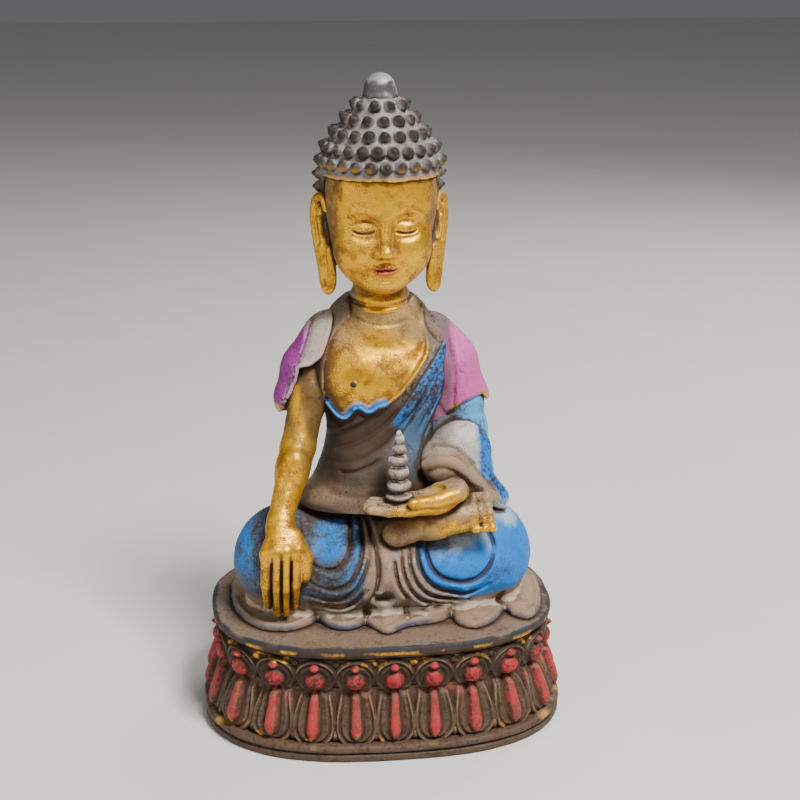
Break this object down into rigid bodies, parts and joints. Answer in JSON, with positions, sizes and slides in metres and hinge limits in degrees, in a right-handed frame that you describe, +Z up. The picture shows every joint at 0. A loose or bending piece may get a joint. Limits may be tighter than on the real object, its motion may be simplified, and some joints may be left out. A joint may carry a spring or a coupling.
{
  "type": "buddha statue",
  "caption": "Seated figure in robes on a double lotus base, one hand reaching to the ground and the other holding a small tiered tower.",
  "frame": {"origin": "middle of the underside of the foot, on the surface the statue stands on", "axes": "+Z up, the figure faces -Y, +X towards the figure's left hand"},
  "size_m": [0.1148, 0.0908, 0.2022],
  "materials": {
    "foot_paint": "matt brown over brass, rubbed along the edges",
    "petal_red": "matt rose red over brown",
    "plate_cream": "matt cream with a dusty grey cast",
    "gilding": "worn gold with brown specks",
    "robe_blue": "matt blue, rubbed down to brown",
    "robe_brown": "matt grey brown",
    "cape_purple": "matt purple with a gilded edge",
    "sleeve_pink": "matt pink with a gilded edge",
    "hair_dark": "dark brown with a grey dusting",
    "tower_white": "matt white with a rose tint",
    "steel": "plain",
    "brass_sheet": "plain"
  },
  "bodies": {
    "root": {"plinth": "foot_paint", "lotus_drum": "foot_paint", "lower_petals": "petal_red", "leaf_tips": "foot_paint", "upper_petals": "petal_red", "seat_plate": "plate_cream", "strap": "steel", "bottom_cover": "brass_sheet", "cover_screws": "steel", "tie_rod": "steel", "rod_washer": "steel", "rod_nut": "steel", "skirt": "plate_cream", "legs": "robe_blue", "right_foot": "gilding", "torso": "robe_brown", "right_cape": "cape_purple", "right_arm": "gilding", "right_hand": "gilding", "left_sleeve": "sleeve_pink", "left_cuff": "plate_cream", "left_hand": "gilding", "pagoda": "tower_white", "arm_dowel": "steel", "neck": "gilding", "head": "gilding", "ears": "gilding", "hair_cap": "hair_dark", "hair_curls": "hair_dark", "crown_jewel": "hair_dark"}
  },
  "joints": []
}
